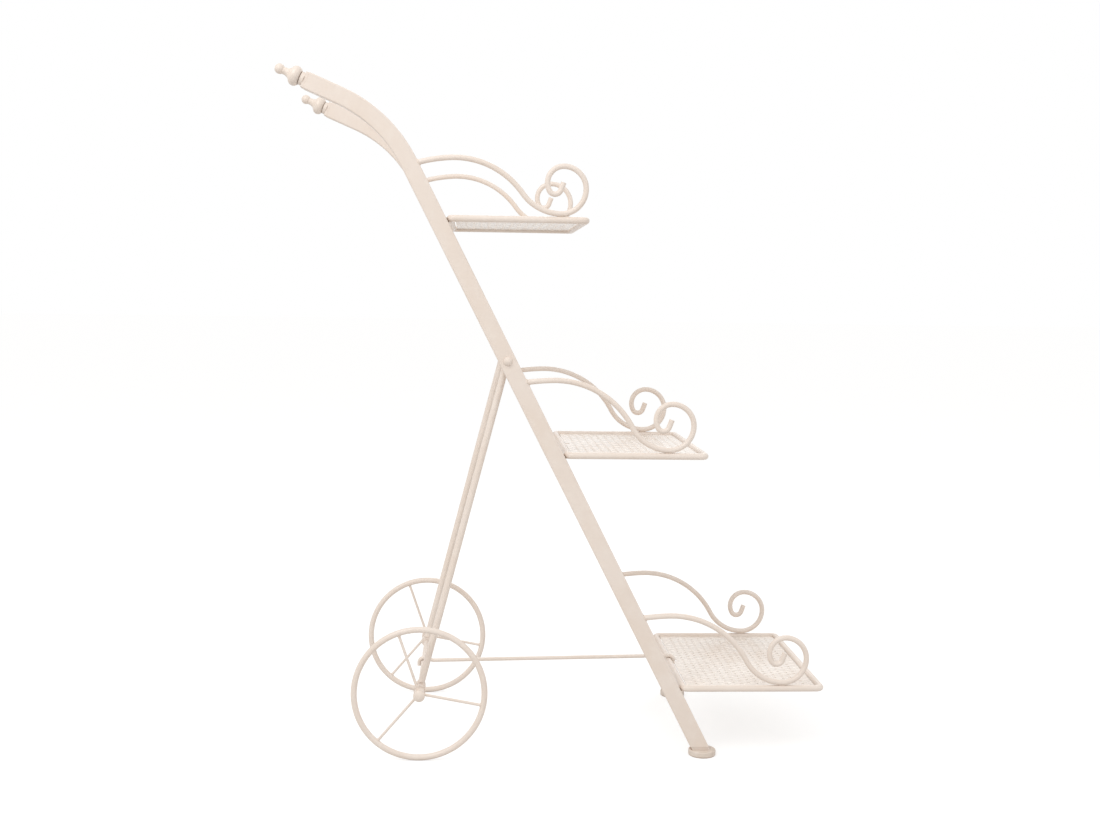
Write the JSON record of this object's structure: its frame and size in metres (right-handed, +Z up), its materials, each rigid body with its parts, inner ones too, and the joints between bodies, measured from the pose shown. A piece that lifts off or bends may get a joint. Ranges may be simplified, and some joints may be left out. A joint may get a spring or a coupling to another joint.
{
  "type": "flower cart stand",
  "caption": "Tiered plant stand in the shape of a leaning hand cart: curved handles, wire shelves on scrolled supports, and spoked wheels on folding rear legs.",
  "frame": {"origin": "on the floor, in the middle of the whole stand's footprint box", "axes": "+X forward, the way the shelves project; +Y to the left, across the stand's plane of symmetry; +Z up"},
  "size_m": [0.9119, 0.424, 1.1239],
  "materials": {
    "frame_paint": "cream powder coat, satin",
    "panel_paint": "cream powder coat on punched sheet, satin",
    "cast_paint": "cream powder coat on cast metal, satin",
    "hardware_paint": "cream enamel over steel fasteners",
    "wheel_paint": "cream powder coat, lightly scuffed where it rolls",
    "foot_plastic": "cream moulded plastic, satin"
  },
  "bodies": {
    "cart_frame": {"rail_left": "frame_paint", "rail_right": "frame_paint", "end_plug_left": "cast_paint", "end_plug_right": "cast_paint", "finial_left": "cast_paint", "finial_right": "cast_paint", "foot_left": "foot_plastic", "foot_right": "foot_plastic", "shelf_frame_top": "frame_paint", "shelf_panel_top": "panel_paint", "scroll_top_left": "frame_paint", "scroll_top_right": "frame_paint", "shelf_frame_middle": "frame_paint", "shelf_panel_middle": "panel_paint", "scroll_middle_left": "frame_paint", "scroll_middle_right": "frame_paint", "shelf_frame_bottom": "frame_paint", "shelf_panel_bottom": "panel_paint", "scroll_bottom_left": "frame_paint", "scroll_bottom_right": "frame_paint", "pivot_bolts": "hardware_paint", "pivot_spacers": "hardware_paint", "pivot_nuts": "hardware_paint"},
    "leg_frame": {"rear_leg_left": "frame_paint", "rear_leg_right": "frame_paint", "axle": "wheel_paint", "axle_sleeves": "wheel_paint", "hub_caps": "hardware_paint"},
    "wheel_left": {"wheel_hub_left": "wheel_paint", "wheel_rim_left": "wheel_paint", "wheel_spokes_left": "wheel_paint"},
    "wheel_right": {"wheel_hub_right": "wheel_paint", "wheel_rim_right": "wheel_paint", "wheel_spokes_right": "wheel_paint"},
    "stay": {"stay_rod": "frame_paint"}
  },
  "joints": [
    {"name": "leg_fold", "type": "hinge", "parent": "cart_frame", "child": "leg_frame", "pos_m": [-0.08181, 0, 0.6574], "axis": [0, -1, 0], "range_deg": [0, 38]},
    {"name": "stay_lift", "type": "hinge", "parent": "cart_frame", "child": "stay", "pos_m": [0.21791, 0, 0.1145], "axis": [0, 1, 0], "range_deg": [0, 60.8]},
    {"name": "wheel_left_spin", "type": "hinge", "parent": "leg_frame", "child": "wheel_left", "pos_m": [-0.2207, 0.1935, 0.1117], "axis": [0, 1, 0], "continuous": true},
    {"name": "wheel_right_spin", "type": "hinge", "parent": "leg_frame", "child": "wheel_right", "pos_m": [-0.2207, -0.1935, 0.1117], "axis": [0, 1, 0], "continuous": true}
  ],
  "couplings": [
    {"joint": "stay_lift", "follows": "leg_fold", "ratio": 1.6}
  ]
}
